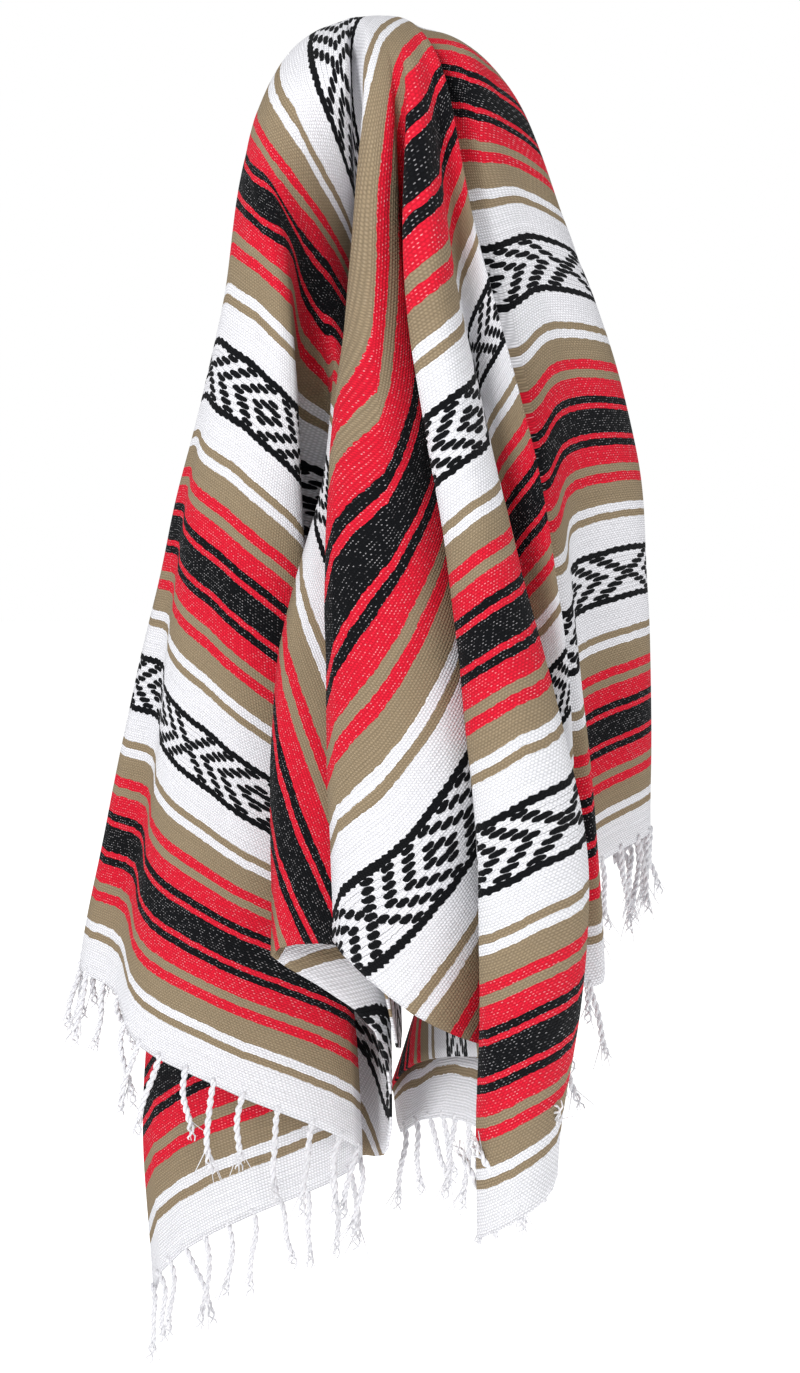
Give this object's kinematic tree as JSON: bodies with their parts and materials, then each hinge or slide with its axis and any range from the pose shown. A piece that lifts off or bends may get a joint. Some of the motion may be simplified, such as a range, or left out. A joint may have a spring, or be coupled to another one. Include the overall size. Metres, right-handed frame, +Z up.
{
  "type": "mexican serape blanket, hung from one point",
  "caption": "Striped woven serape blanket hanging in long uneven folds from one held point, with a rounded crown and knotted fringe on both short ends.",
  "frame": {"origin": "the held point: the underside of the crown's top, where the blanket rests on what holds it", "axes": "+Z up, -Y towards the viewer of the long front folds, +X to the viewer's right, towards the short right-hand hem"},
  "size_m": [0.559, 0.4114, 1.284],
  "materials": {
    "striped_weave": "matt hand-loomed weave in red, black, tan and white stripes",
    "fringe_yarn": "matt white twisted yarn"
  },
  "bodies": {
    "root": {"left_stretch": "striped_weave", "front_stretch": "striped_weave", "right_stretch": "striped_weave", "back_stretch": "striped_weave", "first_end_fringe": "fringe_yarn", "second_end_fringe": "fringe_yarn"}
  },
  "joints": []
}
